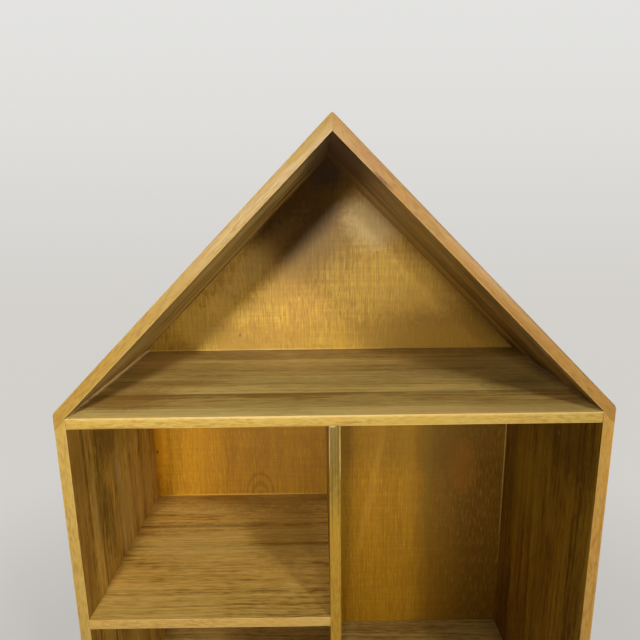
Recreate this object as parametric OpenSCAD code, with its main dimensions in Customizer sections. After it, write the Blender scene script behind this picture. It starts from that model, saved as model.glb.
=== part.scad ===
// House-shaped bookcase for a child's room: an open attic under a pitched roof, over a divided
// lower part with one shelf on the left and a tall bay on the right.
// Millimetres, Z up. The origin is on the floor under the middle of the body, and the open front
// faces -Y.

/* [Overall] */
// Width over the outer faces of the two sides
body_w = 720; // [560:10:900]
// Depth from the front edges to the rear edges of the sides
body_d = 330; // [250:5:420]
// Clear height of the bay under the left shelf
lower_bay_h = 285; // [220:5:360]
// Clear height of the bay between the left shelf and the attic floor
upper_bay_h = 285; // [220:5:360]
// Slope of the roof panels from the horizontal, in degrees
roof_angle = 45; // [38:1:52]

/* [Boards] */
// Thickness of the two sides
side_t = 15; // [13:0.5:20]
// Thickness of the two roof panels
roof_t = 15; // [13:0.5:20]
// Thickness of the attic floor
attic_floor_t = 15; // [13:0.5:20]
// Thickness of the centre divider
divider_t = 15; // [13:0.5:20]
// Thickness of the left shelf
shelf_t = 15; // [13:0.5:20]
// Thickness of the bottom board
bottom_t = 15; // [13:0.5:20]
// Radius on the outer corner of each eave
eave_r = 10; // [3:1:20]
// Radius along the top of the ridge
ridge_r = 3; // [1:0.5:6]

/* [Back panel] */
// Thickness of the plywood back
back_t = 5; // [3:0.5:6]
// How far the back lies in front of the rear edges
back_inset = 3; // [1:0.5:6]
// Width of the rabbet round the back, taken out of the sides and the roof
rabbet_w = 7; // [5:0.5:9]
// Gap round the back inside its rabbet
back_fit = 0.3; // [0.1:0.1:1]
// Height of the back's lower edge above the underside of the bottom board
back_rise = 2; // [0:0.5:4]

/* [Back pins] */
// Shank diameter of the pins that hold the back
pin_d = 1.6; // [1.2:0.1:2]
// Length of a pin under its head
pin_l = 20; // [14:1:25]
// Diameter of a pin's flat head
pin_head_d = 4; // [3:0.5:5]
// Thickness of a pin's head
pin_head_t = 0.8; // [0.5:0.1:1]
// Largest spacing from pin to pin
pin_pitch = 110; // [80:5:160]
// Distance from the end of a row of pins to the corner
pin_edge = 32; // [25:1:45]
// Play between a pin and its hole, on the diameter
pin_fit = 0.1; // [0.1:0.05:0.2]

/* [Dowels] */
// Diameter of the wooden dowels
dowel_d = 8; // [6:0.5:8]
// Length of a dowel in the end of a board
dowel_in_end = 20; // [15:1:25]
// Length of a dowel in the face of the next board
dowel_in_face = 10; // [7:0.5:11]
// Chamfer on a dowel's ends
dowel_chamfer = 1; // [0.5:0.1:1.5]
// Play between a dowel and its hole, on the diameter
dowel_fit = 0.1; // [0.1:0.05:0.2]
// Free length left at each end of a dowel
dowel_end_gap = 0.5; // [0.2:0.1:0.8]
// Dowels in each joint
dowel_count = 4; // [2:1:6]
// Distance of the first and last dowel from the ends of the joint
dowel_edge = 45; // [35:1:60]

/* [Ridge biscuits] */
// Length of a beech biscuit along the ridge
biscuit_l = 47; // [40:1:50]
// Width of a biscuit across the mitre
biscuit_w = 15; // [12:0.5:16]
// Thickness of a biscuit
biscuit_t = 4; // [3:0.5:4]
// Height of the biscuits above the underside of the ridge
biscuit_rise = 5.5; // [4.5:0.5:7]
// Play between a biscuit and its slot, on the thickness
biscuit_fit = 0.2; // [0.1:0.05:0.3]
// Diameter of the disc that cuts the slots
slot_disc_d = 100; // [98:1:110]
// Free depth behind a biscuit in each slot
slot_spare = 0.5; // [0.3:0.1:0.8]
// Biscuits in the ridge
biscuit_count = 3; // [2:1:4]
// Distance of the first and last biscuit's middle from the ends of the ridge
biscuit_edge = 55; // [40:1:60]

/* [Floor glides] */
// Diameter of the plastic glides
glide_d = 20; // [16:1:24]
// Height of the glides
glide_h = 4; // [3:0.5:6]
// Chamfer round the foot of a glide
glide_chamfer = 1; // [0.5:0.1:1.5]
// Distance of a glide's middle from the edges of the bottom board
glide_inset = 22; // [16:1:28]
// Shank diameter of the nail in each glide
nail_d = 2; // [1.5:0.1:2.5]
// Length of the nail from the underside of its head
nail_l = 11; // [8:0.5:13]
// Diameter of the nail's head
nail_head_d = 5; // [4:0.5:6]
// Thickness of the nail's head
nail_head_t = 0.8; // [0.5:0.1:1]
// Depth of the recess that keeps the nail's head off the floor
nail_recess = 1.6; // [1.2:0.1:2]
// Play between a nail and its holes, on the diameter
nail_fit = 0.1; // [0.1:0.05:0.2]

/* [Hidden] */
$fn = 48;
// Overlap that keeps cuts open at the surface
cut = 1;

// Depth: the front edges, the face of the back panel and the rear edges
rabbet_d = back_t + back_inset;
y_front = -body_d / 2;
y_rear = body_d / 2;
y_back = y_rear - rabbet_d;
y_back_rear = y_back + back_t;
inner_d = y_back - y_front;

// Width: the inner faces of the sides and the left face of the divider
x_out = body_w / 2;
x_in = x_out - side_t;
x_divider = divider_t / 2;

// Height: undersides and tops of the level boards
z_foot = glide_h;
z_bottom = z_foot + bottom_t;
z_shelf = z_bottom + lower_bay_h + shelf_t;
z_attic_under = z_shelf + upper_bay_h;
z_attic = z_attic_under + attic_floor_t;

// Roof: its underside starts at the top inner corner of each side and runs on over the side's
// bevelled top to the outer face, where the panel is cut plumb
slope = tan(roof_angle);
roof_plumb_t = roof_t / cos(roof_angle);
z_ridge_in = z_attic + x_in * slope;
z_ridge = z_ridge_in + roof_plumb_t;
z_eave_in = z_attic - side_t * slope;
z_eave = z_eave_in + roof_plumb_t;

biscuit_r = (pow(biscuit_l, 2) + pow(biscuit_w, 2)) / (4 * biscuit_w);
slot_depth = biscuit_w / 2 + slot_spare;

// Even steps from a to b, in count places
function places(a, b, count) = [for (i = [0 : count - 1]) a + (b - a) * i / (count - 1)];

// Even steps from a to b, no more than the pin pitch apart
function pin_places(a, b) = places(a, b, ceil(abs(b - a) / pin_pitch) + 1);

dowel_ys = places(y_front + dowel_edge, y_back - dowel_edge, dowel_count);
biscuit_ys = places(y_front + biscuit_edge, y_back - biscuit_edge, biscuit_count);

// Middles of the pins, as [x, z], for the board that each row goes into
pins_side = [
    for (z = pin_places(z_foot + pin_edge, z_attic - pin_edge)) [x_in + rabbet_w / 2, z]
];
pins_roof = [
    for (x = pin_places(x_in - pin_edge, pin_edge))
        [x, z_attic + rabbet_w / 2 / cos(roof_angle) + (x_in - x) * slope]
];
pins_bottom = [
    for (x = pin_places(pin_edge - x_in, x_in - pin_edge)) [x, z_foot + bottom_t / 2]
];
pins_attic_floor = [
    for (x = pin_places(pin_edge - x_in, x_in - pin_edge)) [x, z_attic - attic_floor_t / 2]
];
pins_divider = [
    for (z = pin_places(z_bottom + pin_edge, z_attic_under - pin_edge)) [0, z]
];
pins_shelf = [
    for (x = pin_places(pin_edge - x_in, -x_divider - pin_edge)) [x, z_shelf - shelf_t / 2]
];

glide_places = [
    for (x = [glide_inset - x_in, 0, x_in - glide_inset])
        for (y = [y_front + glide_inset, y_back - glide_inset]) [x, y]
];

// ---- Shared shapes ----

// A flat outline in X and Z, drawn out along Y from y0 to y1
module along_y(y0, y1) {
    translate([0, y1, 0]) rotate([90, 0, 0]) linear_extrude(y1 - y0) children();
}

// A level board between two heights, as deep as the inside of the case
module level_board(x0, x1, z_top, thickness) {
    translate([x0, y_front, z_top - thickness]) cube([x1 - x0, inner_d, thickness]);
}

// The outline of the space inside the case, grown outwards by g
module house_outline(g, z_low) {
    z_knee = z_attic + g / cos(roof_angle) - g * slope;
    polygon([
        [-x_in - g, z_low],
        [x_in + g, z_low],
        [x_in + g, z_knee],
        [0, z_ridge_in + g / cos(roof_angle)],
        [-x_in - g, z_knee]
    ]);
}

// The rabbet that the back panel lies in
module back_rabbet() {
    along_y(y_back, y_rear + cut) house_outline(rabbet_w, z_foot - cut);
}

// ---- Dowels ----

// Dowels stand on the joint face: their end-grain part below it, and +Z into the next board
module dowel() {
    r = dowel_d / 2;
    l = dowel_in_end + dowel_in_face;
    translate([0, 0, -dowel_in_end])
        rotate_extrude()
            polygon([
                [0, 0],
                [r - dowel_chamfer, 0],
                [r, dowel_chamfer],
                [r, l - dowel_chamfer],
                [r - dowel_chamfer, l],
                [0, l]
            ]);
}

module dowel_hole() {
    translate([0, 0, -dowel_in_end - dowel_end_gap])
        cylinder(d = dowel_d + dowel_fit, h = dowel_in_end + dowel_in_face + 2 * dowel_end_gap);
}

// A row in the right side's joint at height z
module at_side(z) {
    for (y = dowel_ys) translate([x_in, y, z]) rotate([0, 90, 0]) children();
}

module at_left_side(z) {
    mirror([1, 0, 0]) at_side(z) children();
}

// The attic floor's row also reaches into the foot of the roof panel
module at_eave() {
    at_side(z_attic - attic_floor_t / 2) children();
}

module at_bottom() {
    at_side(z_foot + bottom_t / 2) children();
}

module at_shelf_side() {
    at_left_side(z_shelf - shelf_t / 2) children();
}

module at_shelf_divider() {
    for (y = dowel_ys)
        translate([-x_divider, y, z_shelf - shelf_t / 2]) rotate([0, 90, 0]) children();
}

module at_divider_top() {
    for (y = dowel_ys) translate([0, y, z_attic_under]) children();
}

module at_divider_foot() {
    for (y = dowel_ys) translate([0, y, z_bottom]) rotate([180, 0, 0]) children();
}

// ---- Back pins ----

module pin() {
    translate([0, y_back_rear, 0]) rotate([90, 0, 0]) cylinder(d = pin_d, h = pin_l);
    translate([0, y_back_rear + pin_head_t, 0])
        rotate([90, 0, 0]) cylinder(d = pin_head_d, h = pin_head_t);
}

module pin_hole() {
    translate([0, y_back_rear + cut, 0])
        rotate([90, 0, 0]) cylinder(d = pin_d + pin_fit, h = pin_l + cut);
}

module at_pins(row) {
    for (p = row) translate([p[0], 0, p[1]]) children();
}

module at_all_pins() {
    for (side = [0, 1]) mirror([side, 0, 0]) {
        at_pins(pins_side) children();
        at_pins(pins_roof) children();
    }
    at_pins(pins_bottom) children();
    at_pins(pins_attic_floor) children();
    at_pins(pins_divider) children();
    at_pins(pins_shelf) children();
}

// ---- Case boards ----

// Right side, its top bevelled to carry the roof panel
module side_board() {
    difference() {
        along_y(y_front, y_rear)
            polygon([[x_in, z_foot], [x_out, z_foot], [x_out, z_eave_in], [x_in, z_attic]]);
        back_rabbet();
        at_eave() dowel_hole();
        at_bottom() dowel_hole();
        at_pins(pins_side) pin_hole();
    }
}

module side_left() {
    color("peru") difference() {
        mirror([1, 0, 0]) side_board();
        at_shelf_side() dowel_hole();
    }
}

module side_right() {
    color("peru") side_board();
}

// What the round outer corner of the eave takes off the roof panel
module eave_rounding() {
    centre = [x_out - eave_r, z_eave + eave_r * slope - eave_r / cos(roof_angle)];
    difference() {
        polygon([
            centre,
            [x_out, centre[1]],
            [x_out, z_eave],
            centre + eave_r * [sin(roof_angle), cos(roof_angle)]
        ]);
        translate(centre) circle(eave_r);
    }
}

// What the round ridge takes off the roof panel
module ridge_rounding() {
    centre = [0, z_ridge - ridge_r / cos(roof_angle)];
    difference() {
        polygon([
            centre,
            centre + ridge_r * [sin(roof_angle), cos(roof_angle)],
            [0, z_ridge]
        ]);
        translate(centre) circle(ridge_r);
    }
}

// Slots for the biscuits, cut into the mitre by a level disc
module biscuit_slots() {
    for (y = biscuit_ys)
        translate([slot_depth - slot_disc_d / 2, y, z_ridge_in + biscuit_rise])
            cylinder(d = slot_disc_d, h = biscuit_t + biscuit_fit, center = true, $fn = 96);
}

// Right roof panel: mitred at the ridge, cut plumb at the eave
module roof_board() {
    difference() {
        along_y(y_front, y_rear) difference() {
            polygon([[0, z_ridge_in], [x_out, z_eave_in], [x_out, z_eave], [0, z_ridge]]);
            eave_rounding();
            ridge_rounding();
        }
        back_rabbet();
        biscuit_slots();
        at_eave() dowel_hole();
        at_pins(pins_roof) pin_hole();
    }
}

module roof_left() {
    color("burlywood") mirror([1, 0, 0]) roof_board();
}

module roof_right() {
    color("burlywood") roof_board();
}

module attic_floor() {
    color("tan") difference() {
        level_board(-x_in, x_in, z_attic, attic_floor_t);
        at_eave() dowel_hole();
        mirror([1, 0, 0]) at_eave() dowel_hole();
        at_divider_top() dowel_hole();
        at_pins(pins_attic_floor) pin_hole();
    }
}

module centre_divider() {
    color("burlywood") difference() {
        level_board(-x_divider, x_divider, z_attic_under, z_attic_under - z_bottom);
        at_divider_top() dowel_hole();
        at_divider_foot() dowel_hole();
        at_shelf_divider() dowel_hole();
        at_pins(pins_divider) pin_hole();
    }
}

module left_shelf() {
    color("tan") difference() {
        level_board(-x_in, -x_divider, z_shelf, shelf_t);
        at_shelf_side() dowel_hole();
        at_shelf_divider() dowel_hole();
        at_pins(pins_shelf) pin_hole();
    }
}

module bottom_board() {
    color("tan") difference() {
        level_board(-x_in, x_in, z_bottom, bottom_t);
        at_bottom() dowel_hole();
        mirror([1, 0, 0]) at_bottom() dowel_hole();
        at_divider_foot() dowel_hole();
        at_pins(pins_bottom) pin_hole();
        at_glides() nail_hole();
    }
}

module back_panel() {
    color("goldenrod") difference() {
        along_y(y_back, y_back_rear) house_outline(rabbet_w - back_fit, z_foot + back_rise);
        at_all_pins() pin_hole();
    }
}

// ---- Joint pieces ----

// A lens-shaped biscuit, half in each roof panel
module biscuit() {
    offset_x = biscuit_r - biscuit_w / 2;
    intersection() {
        translate([offset_x, 0, 0])
            cylinder(r = biscuit_r, h = biscuit_t, center = true, $fn = 96);
        translate([-offset_x, 0, 0])
            cylinder(r = biscuit_r, h = biscuit_t, center = true, $fn = 96);
    }
}

module ridge_biscuits() {
    color("wheat") for (y = biscuit_ys)
        translate([0, y, z_ridge_in + biscuit_rise]) biscuit();
}

module eave_dowels_left() {
    color("wheat") mirror([1, 0, 0]) at_eave() dowel();
}

module eave_dowels_right() {
    color("wheat") at_eave() dowel();
}

module shelf_dowels_side() {
    color("wheat") at_shelf_side() dowel();
}

module shelf_dowels_divider() {
    color("wheat") at_shelf_divider() dowel();
}

module divider_top_dowels() {
    color("wheat") at_divider_top() dowel();
}

module divider_foot_dowels() {
    color("wheat") at_divider_foot() dowel();
}

module bottom_dowels_left() {
    color("wheat") mirror([1, 0, 0]) at_bottom() dowel();
}

module bottom_dowels_right() {
    color("wheat") at_bottom() dowel();
}

module back_panel_pins() {
    color("silver") at_all_pins() pin();
}

// ---- Floor glides ----

module at_glides() {
    for (p = glide_places) translate([p[0], p[1], 0]) children();
}

module nail_hole() {
    cylinder(d = nail_d + nail_fit, h = nail_recess + nail_l);
}

// A turned disc, bored for the nail and recessed below for its head
module glide() {
    r = glide_d / 2;
    r_bore = (nail_d + nail_fit) / 2;
    r_recess = (nail_head_d + nail_fit) / 2;
    rotate_extrude()
        polygon([
            [r_recess, 0],
            [r - glide_chamfer, 0],
            [r, glide_chamfer],
            [r, glide_h],
            [r_bore, glide_h],
            [r_bore, nail_recess],
            [r_recess, nail_recess]
        ]);
}

module nail() {
    translate([0, 0, nail_recess - nail_head_t]) cylinder(d = nail_head_d, h = nail_head_t);
    translate([0, 0, nail_recess]) cylinder(d = nail_d, h = nail_l);
}

module floor_glides() {
    color("dimgray") at_glides() glide();
}

module glide_nails() {
    color("silver") at_glides() nail();
}

side_left();
side_right();
roof_left();
roof_right();
attic_floor();
centre_divider();
left_shelf();
bottom_board();
back_panel();
ridge_biscuits();
eave_dowels_left();
eave_dowels_right();
shelf_dowels_side();
shelf_dowels_divider();
divider_top_dowels();
divider_foot_dowels();
bottom_dowels_left();
bottom_dowels_right();
back_panel_pins();
floor_glides();
glide_nails();
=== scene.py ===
# The looks of a house-shaped bookcase for a child's room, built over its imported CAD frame.
# Metres, Z up. The open front faces -Y, and the floor is at Z = 0.

import math

import bmesh
import bpy
from mathutils import Matrix, Vector


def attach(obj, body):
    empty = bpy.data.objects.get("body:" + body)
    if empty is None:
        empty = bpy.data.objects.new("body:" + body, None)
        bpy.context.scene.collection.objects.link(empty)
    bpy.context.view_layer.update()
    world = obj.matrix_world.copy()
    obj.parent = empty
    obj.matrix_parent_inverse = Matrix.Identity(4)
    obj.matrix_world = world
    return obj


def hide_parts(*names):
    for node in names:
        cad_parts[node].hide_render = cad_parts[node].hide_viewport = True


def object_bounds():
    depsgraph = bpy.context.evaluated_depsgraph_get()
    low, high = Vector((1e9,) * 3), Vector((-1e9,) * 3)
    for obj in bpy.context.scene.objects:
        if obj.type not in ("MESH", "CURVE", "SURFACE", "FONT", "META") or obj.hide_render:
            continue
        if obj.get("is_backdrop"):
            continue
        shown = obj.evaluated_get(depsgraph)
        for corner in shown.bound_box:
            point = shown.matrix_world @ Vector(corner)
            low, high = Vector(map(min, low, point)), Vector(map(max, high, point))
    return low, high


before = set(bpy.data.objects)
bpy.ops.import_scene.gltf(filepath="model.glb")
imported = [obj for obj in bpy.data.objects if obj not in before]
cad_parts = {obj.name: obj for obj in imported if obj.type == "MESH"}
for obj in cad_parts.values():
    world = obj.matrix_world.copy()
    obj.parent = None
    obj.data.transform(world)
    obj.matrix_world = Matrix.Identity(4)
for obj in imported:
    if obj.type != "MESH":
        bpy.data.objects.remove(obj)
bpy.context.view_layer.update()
bpy.context.scene.view_settings.view_transform = "Standard"


# ---- Camera ----
# It stands less than a metre in front of the case, at two thirds of the roof's height, looks down
# on the attic floor, and is held a little off level.

bpy.ops.object.camera_add(location=(-0.0173, -0.7855, 0.8754))
camera = bpy.context.object
camera.name = "camera"
aim = Matrix.Rotation(math.radians(-0.035), 3, "Z") @ Matrix.Rotation(math.radians(78.015), 3, "X")
camera.rotation_euler = (aim @ Matrix.Rotation(math.radians(-0.744), 3, "Z")).to_euler()
camera.data.sensor_width = 36
camera.data.lens = 29.07
bpy.context.scene.camera = camera


# ---- Floor and backdrop ----
# One wide sheet of pale studio paper. It lies under the case and turns up far behind it in a
# large curve, so that no line shows between the floor and the wall.

def add_node(tree, kind, sockets=(), **settings):
    """Adds a shader node. A socket is given by name or number, as a value or as another socket."""
    node = tree.nodes.new("ShaderNode" + kind)
    node.location = (230 * (len(tree.nodes) % 9), -300 * (len(tree.nodes) // 9))
    for setting, value in settings.items():
        setattr(node, setting, value)
    for socket, value in dict(sockets).items():
        if isinstance(value, bpy.types.NodeSocket):
            tree.links.new(value, node.inputs[socket])
        else:
            node.inputs[socket].default_value = value
    return node


def new_material(name):
    """An empty material: its node tree and the output node's surface socket."""
    material = bpy.data.materials.new(name)
    material.use_nodes = True
    material.node_tree.nodes.clear()
    surface = add_node(material.node_tree, "OutputMaterial").inputs["Surface"]
    return material, material.node_tree, surface


def calc(tree, operation, *values):
    """A Math node's result."""
    return add_node(tree, "Math", dict(enumerate(values)), operation=operation).outputs[0]


def rise(tree, value, start, end, low=0.0, high=1.0):
    """Goes smoothly from low to high as value goes from start to end."""
    sockets = {"Value": value, 1: start, 2: end, 3: low, 4: high}
    return add_node(tree, "MapRange", sockets, interpolation_type="SMOOTHSTEP").outputs[0]


def stain(tree, amount, first, second, way="MIX"):
    """Mixes two colours by an amount."""
    sockets = {0: amount, 6: first, 7: second}
    return add_node(tree, "Mix", sockets, data_type="RGBA", blend_type=way).outputs[2]


paper_width, paper_length, paper_rise, paper_bend = 9, 8, 4, 0.9
paper_middle = -2.1
paper_back = paper_middle + paper_length / 2
bpy.ops.mesh.primitive_plane_add(size=1, location=(0, paper_middle, 0))
sweep = bpy.context.object
sweep.name = "studio_sweep"
sweep.scale = (paper_width, paper_length, 1)
bpy.ops.object.transform_apply(location=True, rotation=True, scale=True)
bpy.ops.object.mode_set(mode="EDIT")
bpy.ops.mesh.select_mode(type="EDGE")
bpy.ops.mesh.select_all(action="DESELECT")
paper = bmesh.from_edit_mesh(sweep.data)
for edge in paper.edges:
    edge.select_set(all(corner.co.y > paper_back - 0.1 for corner in edge.verts))
bmesh.update_edit_mesh(sweep.data)
bpy.ops.mesh.extrude_region_move(TRANSFORM_OT_translate={"value": (0, 0, paper_rise)})
bpy.ops.mesh.select_all(action="DESELECT")
paper = bmesh.from_edit_mesh(sweep.data)
for edge in paper.edges:
    edge.select_set(all(
        corner.co.y > paper_back - 0.1 and corner.co.z < 0.01 for corner in edge.verts))
bmesh.update_edit_mesh(sweep.data)
bpy.ops.mesh.bevel(offset=paper_bend, segments=24, affect="EDGES")
bpy.ops.object.mode_set(mode="OBJECT")
bpy.ops.object.shade_smooth()
sweep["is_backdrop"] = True

paper_material, tree, surface = new_material("studio paper")
where = add_node(tree, "TexCoord").outputs["Object"]
away, back, height = add_node(tree, "SeparateXYZ", {"Vector": where}).outputs
fibres = add_node(tree, "TexNoise", {"Vector": where, "Scale": 3.0, "Detail": 4.0}).outputs["Fac"]
tone = stain(tree, fibres, (0.76, 0.75, 0.73, 1), (0.8, 0.79, 0.775, 1))
paper_shader = add_node(tree, "BsdfPrincipled", {"Base Color": tone, "Roughness": 0.9})


def seen_straight(tree):
    """1 where the backdrop is seen straight or through glass, and less where it is mirrored."""
    path = add_node(tree, "LightPath").outputs
    mirrored = calc(tree, "MULTIPLY", path["Is Glossy Ray"], 0.16)
    straight = calc(tree, "MAXIMUM", path["Is Camera Ray"], path["Is Transmission Ray"])
    return calc(tree, "MAXIMUM", straight, mirrored)


# Close to the case the paper takes its light and shadow; further off it has one even tone, the
# same as the world's, so that the paper's edges don't show.
far_tone, low_tone = (0.77, 0.765, 0.75, 1), (0.65, 0.63, 0.6, 1)
from_case = calc(tree, "SQRT", calc(
    tree, "MULTIPLY_ADD", away, away, calc(tree, "MULTIPLY", back, back)))
pale = stain(tree, rise(tree, height, 0.1, 1.9), low_tone, far_tone)
pale = stain(tree, rise(tree, from_case, 2.6, 4.2), pale, far_tone)
plain = add_node(tree, "Emission", {"Color": pale, "Strength": 1.0})
share = rise(tree, from_case, 0.45, 1.3, 0.45, 1.0)
share = calc(tree, "MULTIPLY", seen_straight(tree), share)
mixed = add_node(tree, "MixShader", {0: share, 1: paper_shader.outputs[0], 2: plain.outputs[0]})
tree.links.new(mixed.outputs[0], surface)
sweep.data.materials.append(paper_material)


# ---- Lamps ----
# Two small soft lamps in front, on the right, light everything. Two narrow ones far off on the left
# light the left bay and the attic. Two large weak ones behind light the back and the roof.

def hang_lamp(name, kind, place, target, power, colour, **settings):
    """A lamp at a place, turned to a target."""
    bpy.ops.object.light_add(type=kind, location=place)
    lamp = bpy.context.object
    lamp.name = name
    lamp.rotation_euler = (Vector(target) - Vector(place)).to_track_quat("-Z", "Y").to_euler()
    lamp.data.energy = power
    lamp.data.color = colour
    for setting, value in settings.items():
        setattr(lamp.data, setting, value)
    return lamp


warm_white, plain_white = (1.0, 0.97, 0.92), (1, 1, 1)
hang_lamp("right_lamp", "AREA", (1.28, -2.0, 1.26), (0, 0, 0.6), 17.5, warm_white, size=0.26)
hang_lamp("high_lamp", "AREA", (0.45, -2.0, 2.09), (0, 0, 0.6), 6, warm_white, size=0.3)
hang_lamp(
    "left_lamp", "SPOT", (-0.86, -7.9, 2.71), (-0.4, 0, 0.6), 1750, warm_white,
    spot_size=math.radians(10.5), spot_blend=1.0, shadow_soft_size=0.45,
)
hang_lamp(
    "attic_lamp", "SPOT", (-1.2, -7.9, 2.25), (0.09, 0.1, 0.77), 1480, warm_white,
    spot_size=math.radians(9.0), spot_blend=1.0, shadow_soft_size=0.55,
)
hang_lamp("rear_left_lamp", "AREA", (-1.6, 1.0, 2.0), (0, 0.1, 0.5), 14, plain_white, size=1.2)
hang_lamp("rear_right_lamp", "AREA", (1.6, 1.0, 2.0), (0, 0.1, 0.5), 14, plain_white, size=1.2)

room = bpy.context.scene.world or bpy.data.worlds.new("studio")
bpy.context.scene.world = room
room.use_nodes = True
room.node_tree.nodes.clear()
tree = room.node_tree
soft = add_node(tree, "Background", {"Color": (1, 0.98, 0.95, 1), "Strength": 0.04})
pale = add_node(tree, "Background", {"Color": far_tone, "Strength": 1.0})
mixed = add_node(tree, "MixShader", {
    0: seen_straight(tree), 1: soft.outputs[0], 2: pale.outputs[0],
})
tree.links.new(mixed.outputs[0], add_node(tree, "OutputWorld").inputs["Surface"])


# ---- Sides ----
# Two upright boards, 15 mm thick, glued up from staves that run from foot to roof. The top of each
# is planed to 45 degrees to carry the roof, a rabbet along the rear inner edge takes the back
# panel, and dowels hold the level boards between them. Satin varnish all over.

front, back_face, rear = -0.165, 0.157, 0.165
inside, outside, thickness = 0.345, 0.36, 0.015
foot, attic_top = 0.004, 0.619
rabbet = 0.007


def saw_board(name, low, high):
    """A board sawn square from corner to corner, on the bench for more work in edit mode."""
    bpy.ops.object.select_all(action="DESELECT")
    middle = [(a + b) / 2 for a, b in zip(low, high)]
    size = [b - a for a, b in zip(low, high)]
    bpy.ops.mesh.primitive_cube_add(size=1, location=middle, scale=size)
    board = bpy.context.object
    board.name = board.data.name = name
    bpy.ops.object.transform_apply(location=True, rotation=True, scale=True)
    bpy.ops.object.mode_set(mode="EDIT")
    return board


def choose(board, kind, test, but=None):
    """Selects the faces or edges with every corner where test says, but not all where but says."""
    bpy.ops.mesh.select_mode(type="FACE" if kind == "faces" else "EDGE")
    bpy.ops.mesh.select_all(action="DESELECT")
    shape = bmesh.from_edit_mesh(board.data)
    for part in getattr(shape, kind):
        corners = [corner.co for corner in part.verts]
        if all(test(*co) for co in corners) and not (but and all(but(*co) for co in corners)):
            part.select_set(True)
    bmesh.update_edit_mesh(board.data)


def near(a, b):
    """Two measures are the same to a hundredth of a millimetre."""
    return abs(a - b) < 1e-5


def plane_off(point, normal):
    """Cuts the whole board along a plane, and takes away what lies beyond it."""
    bpy.ops.mesh.select_all(action="SELECT")
    bpy.ops.mesh.bisect(plane_co=point, plane_no=normal, use_fill=True, clear_outer=True)


def mark_cut(point, normal):
    """Scores the selected faces along a plane, so that one part of them can be pulled out."""
    bpy.ops.mesh.bisect(plane_co=point, plane_no=normal)


def pull_out(distance):
    """Draws the selected faces out along Y."""
    bpy.ops.mesh.extrude_region_move(TRANSFORM_OT_translate={"value": (0, distance, 0)})


def ease(board, test, but=None, width=0.0007):
    """Takes the sharpness off the edges that the test names, as fine paper does."""
    choose(board, "edges", test, but)
    bpy.ops.mesh.bevel(offset=width, segments=2, affect="EDGES")


def off_the_bench(board, *nodes, slot="case_wood"):
    """Leaves edit mode, and puts the board in its place in the frame."""
    bpy.ops.object.mode_set(mode="OBJECT")
    bpy.ops.object.shade_smooth_by_angle(angle=math.radians(35))
    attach(board, "root")
    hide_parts(*nodes)


def new_group(name, inputs, outputs):
    """An empty node group with named sockets: its tree, its inlet's sockets and its outlet."""
    kinds = {"value": "NodeSocketFloat", "colour": "NodeSocketColor", "place": "NodeSocketVector"}
    tree = bpy.data.node_groups.new(name, "ShaderNodeTree")
    for label, kind in inputs.items():
        tree.interface.new_socket(label, in_out="INPUT", socket_type=kinds[kind])
    for label, kind in outputs.items():
        tree.interface.new_socket(label, in_out="OUTPUT", socket_type=kinds[kind])
    return tree, tree.nodes.new("NodeGroupInput").outputs, tree.nodes.new("NodeGroupOutput")


def grain(tree, place, scale, detail=3.0, roughness=0.55):
    """Noise that is stretched by a scale along each axis."""
    drawn = add_node(tree, "Mapping", {"Vector": place, "Scale": scale}).outputs[0]
    sockets = {"Vector": drawn, "Scale": 1.0, "Detail": detail, "Roughness": roughness}
    return add_node(tree, "TexNoise", sockets).outputs["Fac"]


# Solid wood as it grows: X runs along the grain, Y across the board, Z through it. Every stave
# comes from another place in the trunk, so its rings and streaks stop at the glue joint.
solid_wood, inlet, outlet = new_group(
    "solid wood",
    {
        "Place": "place", "Stave": "value", "Joint": "value", "Front": "value", "Arris highlight": "value",
        "Figure": "value",
        "Light wood": "colour", "Middle wood": "colour", "Dark wood": "colour",
        "Front wood": "colour",
    },
    {"Colour": "colour", "Roughness": "value", "Height": "value"},
)
tree = solid_wood

# Each stave has its own place in the log, and the grain sways a little along the board.
own = add_node(tree, "TexWhiteNoise", {"W": inlet["Stave"]}, noise_dimensions="1D").outputs["Color"]
own = add_node(tree, "SeparateXYZ", {"Vector": own}).outputs
along, across, through = add_node(tree, "SeparateXYZ", {"Vector": inlet["Place"]}).outputs
sway = calc(tree, "MULTIPLY_ADD", grain(tree, inlet["Place"], (3, 7, 7), 2.0), 0.024, -0.012)
swayed = calc(tree, "ADD", across, sway)
moved = add_node(tree, "CombineXYZ", {
    0: calc(tree, "MULTIPLY_ADD", own[0], 7.0, along),
    1: calc(tree, "ADD", swayed, own[1]),
    2: calc(tree, "ADD", through, own[2]),
}).outputs[0]

# Year rings, about 6 mm apart, lie round a pith below the board, and taper along it.
from_pith = calc(tree, "ADD", swayed, calc(tree, "MULTIPLY_ADD", own[0], 0.24, -0.12))
below_face = calc(tree, "ADD", through, calc(tree, "MULTIPLY_ADD", own[1], 0.05, 0.015))
ring_radius = calc(
    tree, "SQRT",
    calc(tree, "MULTIPLY_ADD", from_pith, from_pith, calc(tree, "MULTIPLY", below_face, below_face)),
)
taper = calc(tree, "MULTIPLY", along, calc(tree, "MULTIPLY_ADD", own[2], 0.09, -0.045))
rings = add_node(tree, "TexNoise", {
    "W": calc(tree, "MULTIPLY", calc(tree, "ADD", ring_radius, taper), 170.0),
    "Scale": 1.0, "Detail": 2.0,
}, noise_dimensions="1D").outputs["Fac"]


def crisp(tree, figure):
    """Spreads a noise, which keeps to the middle, from 0 to 1."""
    return rise(tree, figure, 0.34, 0.66)


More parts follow.
